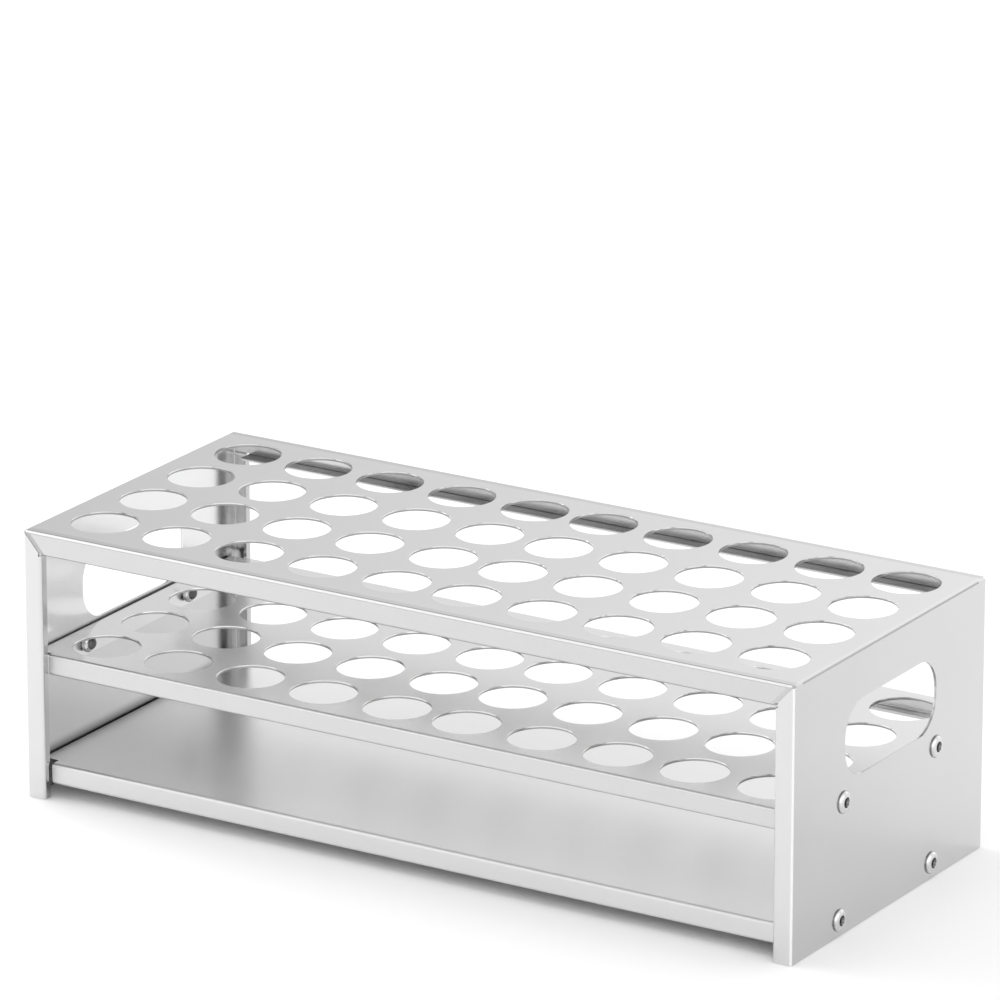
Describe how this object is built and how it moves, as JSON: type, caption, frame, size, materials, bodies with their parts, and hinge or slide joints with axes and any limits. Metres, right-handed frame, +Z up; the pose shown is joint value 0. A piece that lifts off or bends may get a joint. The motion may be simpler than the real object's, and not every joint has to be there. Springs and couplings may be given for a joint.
{
  "type": "test tube rack",
  "caption": "Folded stainless steel test tube rack: perforated top and middle shelf over a solid bottom shelf, with hand holes in its side panels and riveted joints.",
  "frame": {"origin": "on the ground under the middle of the rack", "axes": "+X along the rack, towards its right end; +Y to the rear; +Z up, out of the tube holes"},
  "size_m": [0.2586, 0.11, 0.082],
  "materials": {
    "stainless_shell": "satin",
    "stainless_shelf": "satin",
    "rivet_metal": "smooth satin",
    "mandrel_steel": "dull, snapped end"
  },
  "bodies": {
    "root": {"shell": "stainless_shell", "middle_shelf": "stainless_shelf", "bottom_shelf": "stainless_shelf", "rivet_middle_left_front": "rivet_metal", "rivet_middle_left_rear": "rivet_metal", "rivet_middle_right_front": "rivet_metal", "rivet_middle_right_rear": "rivet_metal", "rivet_bottom_left_front": "rivet_metal", "rivet_bottom_left_rear": "rivet_metal", "rivet_bottom_right_front": "rivet_metal", "rivet_bottom_right_rear": "rivet_metal", "mandrel_stub_middle_left_front": "mandrel_steel", "mandrel_stub_middle_left_rear": "mandrel_steel", "mandrel_stub_middle_right_front": "mandrel_steel", "mandrel_stub_middle_right_rear": "mandrel_steel", "mandrel_stub_bottom_left_front": "mandrel_steel", "mandrel_stub_bottom_left_rear": "mandrel_steel", "mandrel_stub_bottom_right_front": "mandrel_steel", "mandrel_stub_bottom_right_rear": "mandrel_steel"}
  },
  "joints": []
}
